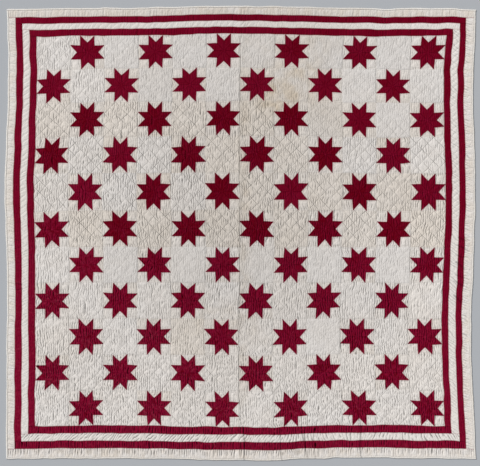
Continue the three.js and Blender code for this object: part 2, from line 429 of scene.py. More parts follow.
def grain(mesh, across, along):
    """The cloth's own threads as a UV map, in metres."""
    corner = np.zeros(len(mesh.loops), np.int32)
    mesh.loops.foreach_get("vertex_index", corner)
    uv = np.stack([across[corner], along[corner]], 1) * MM
    layer = mesh.uv_layers.get("threads") or mesh.uv_layers.new(name="threads")
    layer.data.foreach_set("uv", uv.astype(np.float32).ravel())


def place_mesh(mesh, x, y, z):
    """Moves points given on the cut quilt to where the sewn cloth lies."""
    placed_x, placed_y = lie(x, y)
    set_points(mesh, placed_x * MM, placed_y * MM, z * MM)
    mesh.update()
    mesh.shade_smooth()


def put(name, data):
    """A new object in the scene."""
    made = bpy.data.objects.new(name, data)
    bpy.context.scene.collection.objects.link(made)
    return made


def laid_mesh(name, x, y, z, faces):
    mesh = make_mesh(name, np.column_stack([x, y, z]), faces)
    place_mesh(mesh, x, y, z)
    return mesh


def new_piece(name, mesh, material):
    mesh.materials.clear()
    mesh.materials.append(material)
    return put(name, mesh)


# Geometry Nodes

def start_tree(name, inputs):
    """A tree with named inputs. Each input is (label, socket type)."""
    tree = bpy.data.node_groups.new(name, "GeometryNodeTree")
    tree.interface.new_socket("Geometry", in_out="INPUT", socket_type="NodeSocketGeometry")
    for label, kind in inputs:
        tree.interface.new_socket(label, in_out="INPUT", socket_type=kind)
    tree.interface.new_socket("Geometry", in_out="OUTPUT", socket_type="NodeSocketGeometry")
    return tree, tree.nodes.new("NodeGroupInput"), tree.nodes.new("NodeGroupOutput")


def feed(tree, socket, value):
    """Links a socket to another one, or sets its value."""
    if isinstance(value, bpy.types.NodeSocket):
        tree.links.new(value, socket)
    else:
        socket.default_value = (*value, 1) if socket.type == "RGBA" else value


def feed_all(tree, node, **values):
    """Links a node's sockets or sets their values, by name with _ for a space."""
    for label, value in values.items():
        feed(tree, node.inputs[label.replace("_", " ")], value)


def add_node(tree, kind, settings=None, **values):
    made = tree.nodes.new(kind)
    for key, value in (settings or {}).items():
        setattr(made, key, value)
    feed_all(tree, made, **values)
    return made


def math_node(tree, operation, first, second=None, clamp=False):
    made = tree.nodes.new("ShaderNodeMath")
    made.operation = operation
    made.use_clamp = clamp
    for socket, value in zip(made.inputs, (first, second)):
        if value is not None:
            feed(tree, socket, value)
    return made.outputs[0]


def end_tree(tree, out, instances, material):
    """Makes instances into real mesh of one material, and gives it out."""
    real = add_node(tree, "GeometryNodeRealizeInstances", Geometry=instances)
    done = add_node(tree, "GeometryNodeSetMaterial", Geometry=real.outputs["Geometry"], Material=material)
    tree.links.new(done.outputs["Geometry"], out.inputs["Geometry"])


def blocks_tree():
    """Lays one block's patches in every block that has them."""
    tree, given, out = start_tree(
        "patches in their blocks",
        [("Patches", "NodeSocketObject"), ("Finish", "NodeSocketMaterial")],
    )
    patches = add_node(tree, "GeometryNodeObjectInfo", Object=given.outputs["Patches"])
    size = add_node(tree, "GeometryNodeInputNamedAttribute", {"data_type": "FLOAT_VECTOR"}, Name="block_size")
    laid = add_node(
        tree,
        "GeometryNodeInstanceOnPoints",
        Points=given.outputs["Geometry"],
        Instance=patches.outputs["Geometry"],
        Scale=size.outputs["Attribute"],
    )
    end_tree(tree, out, laid.outputs["Instances"], given.outputs["Finish"])
    return tree


def random_between(tree, low, high, seed):
    """A value for each point between those of two sockets."""
    made = add_node(tree, "FunctionNodeRandomValue", {"data_type": "FLOAT"}, Seed=seed)
    tree.links.new(low, made.inputs[2])
    tree.links.new(high, made.inputs[3])
    return made.outputs[1]


def stitches_tree():
    """Sews a running stitch along every line it is given."""
    tree, given, out = start_tree(
        "running stitches",
        [
            ("Stitch", "NodeSocketObject"),
            ("Thread", "NodeSocketMaterial"),
            ("Stitch every", "NodeSocketFloat"),
            ("Uneven length", "NodeSocketFloat"),
            ("Uneven turn", "NodeSocketFloat"),
            ("Seed", "NodeSocketInt"),
        ],
    )
    curve = add_node(tree, "GeometryNodeMeshToCurve", Mesh=given.outputs["Geometry"])
    spots = add_node(
        tree,
        "GeometryNodeResampleCurve",
        {"mode": "LENGTH"},
        Curve=curve.outputs["Curve"],
        Length=given.outputs["Stitch every"],
    )
    way = add_node(tree, "GeometryNodeInputTangent")
    along = add_node(tree, "FunctionNodeAlignRotationToVector", {"axis": "X"}, Vector=way.outputs["Tangent"])
    uneven, seed = given.outputs["Uneven length"], given.outputs["Seed"]
    shortest, longest = (math_node(tree, operation, 1, uneven) for operation in ("SUBTRACT", "ADD"))
    length = random_between(tree, shortest, longest, seed)
    size = add_node(tree, "ShaderNodeCombineXYZ", X=length, Y=1.0, Z=1.0)
    stitch = add_node(tree, "GeometryNodeObjectInfo", Object=given.outputs["Stitch"])
    sewn = add_node(
        tree,
        "GeometryNodeInstanceOnPoints",
        Points=spots.outputs["Curve"],
        Instance=stitch.outputs["Geometry"],
        Rotation=along.outputs["Rotation"],
        Scale=size.outputs["Vector"],
    )
    ahead = given.outputs["Uneven turn"]
    back = math_node(tree, "MULTIPLY", ahead, -1)
    askew = add_node(tree, "ShaderNodeCombineXYZ", Z=random_between(tree, back, ahead, seed))
    turned = add_node(
        tree,
        "GeometryNodeRotateInstances",
        Instances=sewn.outputs["Instances"],
        Rotation=askew.outputs["Vector"],
    )
    end_tree(tree, out, turned.outputs["Instances"], given.outputs["Thread"])
    return tree


def grown(name, mesh, tree, values):
    """A plain mesh of what the tree makes from a mesh, with the given values for its inputs."""
    base = put(name, mesh)
    modifier = base.modifiers.new("grow", "NODES")
    modifier.node_group = tree
    sockets = {s.name: s.identifier for s in tree.interface.items_tree if s.in_out == "INPUT"}
    for label, value in values.items():
        modifier[sockets[label]] = value
    bpy.context.view_layer.update()
    depsgraph = bpy.context.evaluated_depsgraph_get()
    made = bpy.data.meshes.new_from_object(
        base.evaluated_get(depsgraph), preserve_all_data_layers=True, depsgraph=depsgraph
    )
    made.name = name
    base.modifiers.clear()
    bpy.data.objects.remove(base)
    return made


# Finishes

def start_material(name, roughness, sheen):
    material = bpy.data.materials.new(name)
    material.use_nodes = True
    tree = material.node_tree
    shader = tree.nodes["Principled BSDF"]
    feed_all(tree, shader, Roughness=roughness, Sheen_Weight=sheen, Sheen_Roughness=0.45)
    feed_all(tree, shader, Specular_IOR_Level=0.25)
    return material, tree, shader


def times(tree, first, second, clamp=False):
    return math_node(tree, "MULTIPLY", first, second, clamp)


def value_of(tree, name):
    return add_node(tree, "ShaderNodeAttribute", {"attribute_name": name}).outputs["Fac"]


def remap(tree, value, low, high, to_low, to_high):
    made = add_node(
        tree, "ShaderNodeMapRange", {"clamp": True},
        Value=value, From_Min=low, From_Max=high, To_Min=to_low, To_Max=to_high,
    )
    return made.outputs["Result"]


def blend_colours(tree, share, first, second, way="MIX"):
    made = tree.nodes.new("ShaderNodeMix")
    made.data_type = "RGBA"
    made.blend_type = way
    for number, value in ((0, share), (6, first), (7, second)):
        feed(tree, made.inputs[number], value)
    return made.outputs[2]


def darken(tree, colour, amount):
    """Multiplies a colour by a grey value."""
    grey = add_node(tree, "ShaderNodeCombineColor", Red=amount, Green=amount, Blue=amount)
    return blend_colours(tree, 1.0, colour, grey.outputs["Color"], "MULTIPLY")


def noise_at(tree, vector, scales, detail=2.0, roughness=0.5):
    scaled = add_node(tree, "ShaderNodeMapping", Vector=vector, Scale=scales).outputs["Vector"]
    made = add_node(tree, "ShaderNodeTexNoise", Vector=scaled, Scale=1.0, Detail=detail, Roughness=roughness)
    return made.outputs["Fac"]


def weave_height(tree, threads, per_metre):
    """Plain weave: threads over and under each other, from -1 to 1."""
    apart = add_node(tree, "ShaderNodeSeparateXYZ", Vector=threads)
    turns = [times(tree, apart.outputs[label], per_metre * math.pi) for label in ("X", "Y")]
    return times(tree, *(math_node(tree, "SINE", turn) for turn in turns))


def line_at(tree, distance, half_width):
    """1 on a line, fading to 0 at its half width."""
    return remap(tree, distance, 0, half_width, 1, 0)


def cotton(
    name, plain, aged, stained, fold_shade, line_shade, seam_shade,
    worn=0.0, shine=0.25, gloss=(1.0, 1.0, 1.0), show_through_and_shade=0.0,
):
    """Washed and quilted cotton, with colours from plain to aged, worn paler and given a painted highlight on
    the ridges between its folds.

    Painted shade darkens it in its folds, along its quilting lines, seams and column seams, and in creases.
    Where it is sewn to red, the red seam allowance shows through, mixed with painted seam shade."""
    material, tree, shader = start_material(name, 0.92, 0.4 * shine)
    feed_all(tree, shader, Specular_IOR_Level=shine, Specular_Tint=gloss, Sheen_Tint=gloss)
    threads = add_node(tree, "ShaderNodeUVMap", {"uv_map": "threads"}).outputs["UV"]
    place = add_node(tree, "ShaderNodeTexCoord").outputs["Object"]
    tone, crease_shadow, stain, drawn, dim, seam, echo, upright, tight = (
        value_of(tree, label)
        for label in ("tone", "crease_shadow", "stain", "drawn", "dim", "seam", "echo", "upright", "tight")
    )
    tuck, rising, falling = (
        math_node(tree, "PINGPONG", value_of(tree, label), 0.5) for label in ("tuck", "rising", "falling")
    )

    blotches = noise_at(tree, place, (7, 9, 7), 4, 0.6)
    # Painted shade in the folds of the shrunken cloth, where their shadows fall
    fold = math_node(tree, "POWER", line_at(tree, tuck, FOLD_MARK), 1.7)
    fold = times(tree, fold, drawn, True)
    # Paler wear on the ridges between the folds, partly a painted highlight
    wear_and_highlight = math_node(tree, "SUBTRACT", drawn, times(tree, fold, 2))
    uneven = math_node(tree, "ADD", tone, remap(tree, blotches, 0.3, 0.7, -0.14, 0.14))
    uneven = math_node(tree, "ADD", uneven, times(tree, wear_and_highlight, worn), True)
    colour = blend_colours(tree, uneven, plain, aged)
    spread = times(tree, stain, remap(tree, blotches, 0.3, 0.65, 0.55, 1.0), True)
    colour = blend_colours(tree, spread, colour, stained)

    # Where white is sewn to red, the red seam allowance shows through, blended with painted seam shade
    if show_through_and_shade:
        shown = times(tree, line_at(tree, value_of(tree, "near_red"), RED_MARK), show_through_and_shade)
        colour = blend_colours(tree, shown, colour, SHOWN_RED_AND_SEAM_SHADE)

    # Painted shade in the grooves of the quilting and echo lines, lighter where the quilting is loose
    hatch = line_at(tree, math_node(tree, "MINIMUM", rising, falling), HATCH_MARK)
    beside = line_at(tree, math_node(tree, "ABSOLUTE", math_node(tree, "SUBTRACT", echo, ECHO)), ECHO_MARK)
    quilting_shade = math_node(tree, "MAXIMUM", hatch, times(tree, beside, ECHO_SHADE))
    loose = remap(tree, noise_at(tree, place, (26, 26, 26)), 0.38, 0.58, 0.3, 1)
    quilting_shade = times(tree, quilting_shade, times(tree, loose, tight), True)
    # Painted shade in broken lengths along the grooves of the column seams
    broken = remap(tree, noise_at(tree, place, (30, 34, 30)), 0.46, 0.6, 0, 1)
    column = times(tree, line_at(tree, upright, COLUMN_MARK), broken)

    fibres = noise_at(tree, threads, (900, 2600, 1), 2, 0.6)
    shade = remap(tree, fibres, 0.3, 0.7, 0.97, 1.02)
    # Painted shade: folds, quilting lines, seams, column seams and creases each darken the colour
    for amount, dark in (
        (fold, fold_shade),
        (quilting_shade, line_shade),
        (line_at(tree, seam, SEAM_MARK), seam_shade),
        (column, COLUMN_SHADE),
        (crease_shadow, CREASE_SHADE),
    ):
        share = math_node(tree, "MULTIPLY_ADD", amount, -dark)
        share.node.inputs[2].default_value = 1
        shade = times(tree, shade, share)
    shade = times(tree, shade, dim)
    colour = darken(tree, colour, shade)

    weave = weave_height(tree, threads, THREADS_PER_METRE)
    small = add_node(tree, "ShaderNodeBump", Strength=0.6, Distance=0.00008, Height=weave)
    streaks = noise_at(tree, place, (125, 92, 60), 3, 0.6)
    crumple = add_node(
        tree, "ShaderNodeBump", Strength=1.0, Distance=0.0021, Height=streaks, Normal=small.outputs["Normal"]
    )
    feed_all(tree, shader, Base_Color=colour, Normal=crumple.outputs["Normal"])
    return material


def thread(name, plain, worn):
    """Twisted sewing thread."""
    material, tree, shader = start_material(name, 0.8, 0.1)
    place = add_node(tree, "ShaderNodeTexCoord").outputs["Object"]
    patchy = noise_at(tree, place, (300, 300, 300))
    colour = blend_colours(tree, patchy, plain, worn)
    twist = noise_at(tree, place, (2500, 2500, 2500), 1)
    bump = add_node(tree, "ShaderNodeBump", Strength=0.5, Distance=0.0001, Height=twist)
    feed_all(tree, shader, Base_Color=colour, Normal=bump.outputs["Normal"])
    return material


white_cotton = cotton(
    "washed white cotton", (0.852, 0.81, 0.781), (0.80, 0.725, 0.65), (0.70, 0.59, 0.465),
    fold_shade=0.76, line_shade=0.95, seam_shade=0.15, show_through_and_shade=0.8,
)
red_cotton = cotton(
    "turkey red cotton", (0.145, 0.0005, 0.0078), (0.232, 0.0048, 0.029), (0.37, 0.045, 0.085),
    fold_shade=0.86, line_shade=0.40, seam_shade=0.44, worn=0.45, shine=0.06, gloss=(0.30, 0.004, 0.03),
)
binding_cotton = cotton(
    "folded white binding", (0.86, 0.82, 0.775), (0.80, 0.73, 0.65), (0.70, 0.59, 0.46),
    fold_shade=0.12, line_shade=0.2, seam_shade=0.2,
)
back_cotton = cotton(
    "plain muslin back", (0.76, 0.71, 0.65), (0.72, 0.65, 0.56), (0.66, 0.56, 0.45),
    fold_shade=0.10, line_shade=0.3, seam_shade=0.1,
)
white_thread = thread("white quilting thread", (0.74, 0.72, 0.68), (0.62, 0.58, 0.50))
red_thread = thread("red quilting thread", (0.13, 0.002, 0.008), (0.20, 0.012, 0.022))


# Pieced field

def star_patches():
    """Corners of the diamonds, corner squares and edge triangles in a star block of side 1."""

    def at(reach, turn):
        angle = turn * math.tau / POINTS
        return (0.5 + reach * math.cos(angle), 0.5 + reach * math.sin(angle))

    diamonds, squares, triangles = [], [], []
    for k in range(POINTS):
        notch, next_notch = at(FULLER * STAR_SIDE, k), at(FULLER * STAR_SIDE, k + 1)
        tip_before, tip = at(STAR_REACH, k - 0.5), at(STAR_REACH, k + 0.5)
        diamonds.append([(0.5, 0.5), notch, tip, next_notch])
        if k % 2:
            squares.append([notch, tip_before, at(math.sqrt(0.5), k), tip])
        else:
            triangles.append([notch, tip_before, tip])
    return diamonds, squares, triangles


def block_points(starred):
    """A point at the lower left of each block of one kind, with its size, column and row from the bottom."""
    cells = [(c, r) for r in range(ROWS) for c in range(COLUMNS) if (r + c) % 2 == starred]
    column, row = np.array(cells).T
    width, height = np.diff(column_lines)[column], np.diff(row_lines)[row]
    left, low = column_lines[column], row_lines[row]
    mesh = bpy.data.meshes.new("block places")
    set_points(mesh, left, low, 0 * left)
    size = np.stack([width, height, 1 + 0 * width], 1)
    mesh.attributes.new("block_size", "FLOAT_VECTOR", "POINT").data.foreach_set(
        "vector", size.astype(np.float32).ravel()
    )
    note(mesh, "column", column)
    note(mesh, "row", row)
    return mesh


def patch_mesh(name, patches, fill):
    """One block's patches of a kind, each point marked with its place in the block and its patch.

    fill is a grid function and the cells to give it."""
    points, triangles, number = [], [], []
    for k, corners in enumerate(patches):
        grid, *cells = fill
        spots, faces = grid(corners, *cells)
        triangles.append(faces + sum(len(p) for p in points))
        points.append(spots)
        number.append(np.full(len(spots), k))
    points = np.vstack(points)
    mesh = make_mesh(name, np.column_stack([points, np.zeros(len(points))]), np.vstack(triangles))
    note(mesh, "share_across", points[:, 0])
    note(mesh, "share_up", points[:, 1])
    note(mesh, "patch", np.concatenate(number))
    return mesh


def to_edges(x, y, corners, edges):
    """Distance from points inside patches to the nearest of some edges. corners are (points, corners, 2)."""
    nearest = np.full(len(x), 1e9)
    count = corners.shape[1]
    for k in edges:
        ax, ay = corners[:, k].T
        bx, by = corners[:, (k + 1) % count].T
        dx, dy = bx - ax, by - ay
        nearest = np.minimum(nearest, (dx * (y - ay) - dy * (x - ax)) / np.hypot(dx, dy))
    return np.maximum(nearest, 0)


def in_block(u, v, column, row):
    """Place on the cut quilt of a share across and up a block."""
    column, row = np.asarray(column, int), np.asarray(row, int)
    x = column_lines[column] + u * BLOCK_WIDTH
    y = row_lines[row] + v * (row_lines[row + 1] - row_lines[row])
    return x, y


def hatch_phases(x, y, u, v, height):
    """Counts a plain block's diagonal quilting lines, rising and falling: a whole number on each."""
    hand_x, hand_y = hand(x, y)
    u, v = u + hand_x / BLOCK_WIDTH, v + hand_y / height
    return (u - v) * HATCHES, (u + v) * HATCHES


def hatch_distance(phases, height):
    apart = 1 / np.hypot(HATCHES / BLOCK_WIDTH, HATCHES / height)
    return np.minimum(*(from_whole(phase) for phase in phases)) * apart


def stain_at(x, y):
    most = np.zeros(len(x))
    for sx, sy, reach_x, reach_y, strength in STAINS:
        most = np.maximum(most, strength * around(x, y, (sx, sy), (reach_x, reach_y)))
    ragged = 0.75 + 0.5 * noise(x, y, 35, 35, 31) + 0.25 * noise(x, y, 12, 16, 32)
    return np.clip(most * ragged, 0, 1)


def red_tone(x, y):
    """Reds have faded towards the bottom left."""
    faded = by_height(y, (-1020, 0.78), (-700, 0.72), (-250, 0.60), (0, 0.40), (1020, 0.38))
    return faded - 0.00012 * x


def pale_specks(x, y):
    """Small places where red cloth has worn pale, most of them at the bottom left."""
    where = by_height(y + 0.45 * x, (-700, 0.6), (-500, 0.25), (0, 0.12), (500, 0.04))
    return np.clip(where * (noise(x, y, 7, 7, 39) + 0.4 * noise(x, y, 4.5, 4.5, 38) - 0.2), 0, 1)


def white_tone(x, y):
    return 0.22 + 0.10 * noise(x, y, 260, 260, 33)


def dimness(x, y):
    """The middle of the quilt has greyed more than its sides, and so have some other places."""
    middle_grey = 0.15 * around(x, y, (0, 120), (640, 900))
    top_grey = 0.06 * around(x, y, (260, 900), (560, 260))
    low_grey = 0.035 * around(x, y, (80, -310), (640, 210))
    right_grey = 0.04 * around(x, y, (720, 420), (330, 320))
    return 1.022 - middle_grey - top_grey - low_grey - right_grey + 0.00002 * x


def finish_marks(
    mesh, x, y, tone, tucks, tight,
    seam=FAR, echo=FAR, near_red=FAR, upright=FAR, phases=NO_LINES, stain_share=1.0, grey=1.0,
):
    """The values that the finishes read: what colours the cloth and how far each point is from its lines."""
    values = {
        "tone": np.clip(tone, 0, 1),
        "stain": stain_at(x, y) * stain_share,
        "dim": dimness(x, y) * grey,
        "tuck": tucks[0],
        "drawn": np.clip(tucks[1], 0, 1.3),
        # painted shade in the creases, by their depth
        "crease_shadow": np.clip(crease_depth(x, y), 0, 1),
        "tight": tight,
        "seam": seam,
        "near_red": near_red,
        "echo": echo,
        "upright": upright,
        "rising": phases[0],
        "falling": phases[1],
    }
    for label, value in values.items():
        note(mesh, label, value + 0 * x)


def block_random(known, patch, seed):
    """A value from -1 to 1 for each patch of each block."""
    values = np.random.default_rng(seed).uniform(-1, 1, (COLUMNS, ROWS, 16))
    return values[known.column, known.row, patch]


diamonds, squares, triangles = star_patches()
unit_square = [(0, 0), (1, 0), (1, 1), (0, 1)]
lay_blocks = blocks_tree()


def lay_patches(name, patches, fill, starred, finish):
    """One kind of patch over the whole field, with what is known of each of its points."""
    pattern = put(name + " pattern", patch_mesh(name + " pattern", patches, fill))
    made = grown(name, block_points(starred), lay_blocks, {"Patches": pattern, "Finish": finish})
    bpy.data.objects.remove(pattern)
    column, row, patch = (np.round(read(made, key)).astype(int) for key in ("column", "row", "patch"))
    u, v = read(made, "share_across"), read(made, "share_up")
    x, y = in_block(u, v, column, row)
    corner_u, corner_v = np.moveaxis(np.array(patches)[patch], -1, 0)
    corners = np.stack(in_block(corner_u, corner_v, column[:, None], row[:, None]), -1)
    known = SimpleNamespace(column=column, row=row, patch=patch, u=u, v=v, x=x, y=y)
    count = corners.shape[1]
    known.seam = to_edges(x, y, corners, range(count))
    known.to_star = to_edges(x, y, corners, (0, count - 1))  # a white patch is sewn to diamonds by these
    for key in ("column", "row", "patch", "share_across", "share_up", "block_size"):
        if key in made.attributes:
            made.attributes.remove(made.attributes[key])
    return made, known


def from_centre(known):
    """Distance to the middle of the block."""
    return np.hypot(known.u - 0.5, known.v - 0.5) * BLOCK_WIDTH


def star_cloth(name, patches, fill, finish, puff, grain_turn, tone_of):
    """Diamonds, corner squares or edge triangles, quilted just inside their seams."""
    mesh, known = lay_patches(name, patches, fill, 1, finish)
    x, y, seam = known.x, known.y, known.seam
    line = np.abs(seam - ECHO)
    phase, drawn = field_tucks(x, y)
    tucks = phase, drawn * liveliness(x, y) * (1 + 0.25 * block_random(known, 0, 41))
    if finish is red_cotton:
        tucks = phase, tucks[1] * by_height(y, (-1020, 1.6), (-300, 1.45), (0, 0.8))
    z = face_height(x, y, seam, line, puff, tucks)
    place_mesh(mesh, x, y, z)
    if finish is red_cotton:
        seam_shade_distance = seam + 3 * near(from_centre(known), 4)  # painted seam shade is left off at the worn middle of a star
        finish_marks(mesh, x, y, tone_of(known), tucks, 0.7, seam_shade_distance, seam)
        note(mesh, "stain", pale_specks(x, y))
    else:
        near_red = np.minimum(known.to_star, inside(x, y, field))
        finish_marks(mesh, x, y, tone_of(known), tucks, 0.7, seam, seam, near_red, from_column_seam(x))
    angle = grain_turn * known.patch
    grain(mesh, x * np.cos(angle) + y * np.sin(angle), y * np.cos(angle) - x * np.sin(angle))
    return new_piece(name, mesh, finish)


def marked(known, blocks):
    """1 in the listed blocks, given by column and row from the top, and 0 in the rest."""
    flags = np.zeros((COLUMNS, ROWS))
    for column, from_top in blocks:
        flags[column, ROWS - 1 - from_top] = 1
    return flags[known.column, known.row]


def diamond_tone(known):
    own = 0.10 * block_random(known, known.patch, 42)
    star = 0.08 * block_random(known, 9, 43)
    worn = np.clip(block_random(known, 10, 44) + 0.2, 0, 1)
    even = np.where(marked(known, DEEP_STARS) > 0, 0.04, red_tone(known.x, known.y))
    faded = by_height(known.y + 0.3 * known.x, (-1100, 1.0), (-500, 0.9), (0, 0.2), (1300, 0.1))
    specks = 0.95 * faded * noise(known.x, known.y, 8.5, 8.5, 40)
    return even + own + star + specks + 0.9 * worn * near(from_centre(known), 3.2)


def square_tone(known):
    own = block_random(known, known.patch, 45)
    warm = by_height(known.y, (-1020, 0.12), (0, 0.14), (120, 0.42), (560, 0.42), (760, 0.12), (1020, 0.1))
    return white_tone(known.x, known.y) + warm + 0.10 * own + np.where(own > 0.6, 0.2, 0)


def plain_cloth():
    fill = (cushion_grid, PLAIN_ACROSS, PLAIN_UP)
    mesh, known = lay_patches("plain_blocks", [unit_square], fill, 0, white_cotton)
    x, y, seam = known.x, known.y, known.seam
    height = np.array(ROW_HEIGHTS[::-1])[known.row]
    phases = hatch_phases(x, y, known.u, known.v, height)
    creamy, smooth = marked(known, CREAM_BLOCKS), marked(known, SMOOTH_BLOCKS)
    line = hatch_distance(phases, height) + 2.2 * smooth
    phase, drawn = field_tucks(x, y)
    held = 1 - 0.4 * near(line, 4.5)  # stitches break the folds
    lively = 1.15 + by_corner(x, y) + 0.15 * block_random(known, 1, 46)
    tucks = phase, drawn * held * lively * (1 - 0.5 * smooth)
    z = face_height(x, y, seam, line, PLAIN_PUFF, tucks)
    place_mesh(mesh, x, y, z)
    tone = white_tone(x, y) + 0.10 * block_random(known, 2, 47) + 0.62 * creamy - 0.1 * smooth
    tight = sewn_tight(x, y) * (1 - 0.4 * smooth)
    grey = 1 - 0.055 * smooth + 0.02 * block_random(known, 3, 48)
    near_red, upright = inside(x, y, field), from_column_seam(x)
    finish_marks(mesh, x, y, tone, tucks, tight, seam, FAR, near_red, upright, phases, grey=grey)
    grain(mesh, x, y)
    return new_piece("plain_blocks", mesh, white_cotton)


plain_blocks = plain_cloth()
star_diamonds = star_cloth(
    "star_diamonds", diamonds, (cushion_grid, DIAMOND_CELLS, DIAMOND_CELLS),
    red_cotton, DIAMOND_PUFF, math.tau / POINTS, diamond_tone,
)
star_squares = star_cloth(
    "star_squares", squares, (cushion_grid, SQUARE_CELLS, SQUARE_CELLS),
    white_cotton, SQUARE_PUFF, 0, square_tone,
)
star_triangles = star_cloth(
    "star_triangles", triangles, (triangle_grid, TRIANGLE_CELLS),
    white_cotton, TRIANGLE_PUFF, 0, square_tone,
)
field_pieces = [plain_blocks, star_diamonds, star_squares, star_triangles]


# Borders

def side_rects(inner, outer):
    """Side strips are as long as what they are sewn to, and top and bottom strips run across their ends."""
    return {
        "left": (outer[0], inner[0], inner[2], inner[3]),
        "right": (inner[1], outer[1], inner[2], inner[3]),
        "top": (outer[0], outer[1], inner[3], outer[3]),
        "bottom": (outer[0], outer[1], outer[2], inner[2]),
    }


def is_level(rect):
    return rect[1] - rect[0] > rect[3] - rect[2]


def half_width(rect):
    return min(rect[1] - rect[0], rect[3] - rect[2]) / 2


def spaced(start, end, step):
    return np.linspace(start, end, max(2, round((end - start) / step) + 1))


def strip_phase(along, across, pitch, lean):
    """Counts the quilting lines across a border: a whole number on each."""
    stray = 5 * noise(along, 0 * along, 70, 70, 51) + 2.5 * noise(along, 0 * along, 26, 26, 52)
    leaning = lean * across * np.where(along < 60, 1, -1)
    return (along + stray - leaning) / pitch


def strip_tucks(name, side, along, across, half):
    """Small folds across a border, and how far each is drawn in."""
    pitch, lean, strength = STRIP_TUCKS[name][SIDES.index(side)]
    if name.startswith("red") and side in ("left", "right"):  # here they run along the border
        phase, drawn = field_tucks(-across, along)
        return phase, drawn * strength
    if (name, side) == ("white_middle", "bottom"):
        lean = np.interp(along, [-900, 150, 420, 560, 1000], [1.0, 0.7, -0.6, 0.5, -0.8])
    slanted = along - lean * across
    slanted = slanted + 8 * noise(along, across, 34, 60, 54) + 3.5 * noise(along, across, 11, 30, 55)
    length, unevenness = (13, 1.15) if side == "bottom" else (36, 0.8)
    drawn = 0.65 + unevenness * noise(slanted, across, 8, length, 56)
    drawn = drawn + 0.2 * noise(along, 0 * along, 90, 90, 57)
    if name == "white_outer":  # they start at the inner seam and fade towards the binding
        inner = INWARD[side] * across / half
        drawn = (drawn + 0.2) * np.clip(0.75 + 0.75 * inner, 0.1, 1)
    return slanted / pitch, np.clip(drawn, 0.03, 1.1) * strength


def border_strip(name, side, rect):
    left, right, low, high = rect
    level, half = is_level(rect), half_width(rect)
    step_across = STRIP_ACROSS * (0.65 if name == "white_middle" else 1)
    step_x, step_y = (STRIP_ALONG, step_across) if level else (step_across, STRIP_ALONG)
    points, faces = sheet_grid(spaced(left, right, step_x), spaced(low, high, step_y))
    x, y = points.T
    along, across = (x, y - (low + high) / 2) if level else (y, (left + right) / 2 - x)
    pitch, lean = STRIP_LINES[name]
    phase = strip_phase(along, across, pitch, lean)
    line = from_whole(phase) * pitch / math.hypot(1, lean)
    seam = inside(x, y, rect)
    red = name.startswith("red")
    tucks = strip_tucks(name, side, along, across, half)
    z = face_height(x, y, seam, line, STRIP_PUFF, tucks)
    mesh = laid_mesh(f"{name}_{side}", x, y, z, faces)
    tone = red_tone(x, y) + 0.1 * noise(x, y, 60, 60, 53) if red else white_tone(x, y)
    near_red, grey = half - np.abs(across), 1
    if name == "white_outer":  # red only at its inner seam
        near_red = half - INWARD[side] * across
        grey = 0.97 if side == "top" else 1
        tone = tone + (0.5 if side == "top" else 0.22) + 0.4 * noise(x, y, 18, 18, 58)
    finish_marks(mesh, x, y, tone, tucks, 0.45, seam, FAR, near_red, phases=(phase, 0.5), grey=grey)
    if red:
        note(mesh, "stain", 0.6 * pale_specks(x, y))
    grain(mesh, x, y)
    return new_piece(f"{name}_{side}_strip", mesh, red_cotton if red else white_cotton)


def binding_length(side, rect):
    left, right, low, high = rect
    level = is_level(rect)
    stations = spaced(left, right, BINDING_STEP) if level else spaced(low, high, BINDING_STEP)
    inward, height = np.array(BINDING_SECTION).T
    along, depth = np.meshgrid(stations, inward, indexing="ij")
    raised = np.broadcast_to(height, along.shape)
    pull = noise(along, depth, 6, 30, BINDING_SEEDS[side])
    top_share = np.clip(raised / BINDING_TOP, 0, 1)
    z = raised + 0.3 * pull * top_share
    depth = depth + 0.35 * pull * (1 - depth / BINDING_REACH)
    x, y = {
        "left": (cut[0] + depth, along),
        "right": (cut[1] - depth, along),
        "top": (along, cut[3] - depth),
        "bottom": (along, cut[2] + depth),
    }[side]
    rows, turn = along.shape
    a = (np.arange(rows - 1)[:, None] * turn + np.arange(turn - 1)).ravel()
    b, c, d = a + turn, a + turn + 1, a + 1
    faces = np.concatenate([np.stack([a, b, c], 1), np.stack([a, c, d], 1)])
    if side in ("left", "top"):
        faces = faces[:, ::-1]
    x, y, z, depth = x.ravel(), y.ravel(), z.ravel(), depth.ravel()
    mesh = laid_mesh(f"binding_{side}", x, y, z, faces)
    tone = 0.25 + 0.3 * noise(x, y, 90, 90, 66)
    tucks = along.ravel() / 8, 0.25 + 0.2 * pull.ravel()
    seam = np.abs(depth - STRIPS["binding"][0])
    finish_marks(mesh, x, y, tone, tucks, 1, seam, stain_share=0.3)
    grain(mesh, x + z, y + z)
    return new_piece(f"binding_{side}_band", mesh, binding_cotton)


strips = {}
for index, name in enumerate(STRIPS):
    for side, rect in side_rects(rings[index], rings[index + 1]).items():
        if name == "binding":
            strips[name, side] = (binding_length(side, rect), rect)
        else:
            strips[name, side] = (border_strip(name, side, rect), rect)


# Backing

back_rect = grow(rings[-2], (UNDER_BINDING,) * 4)


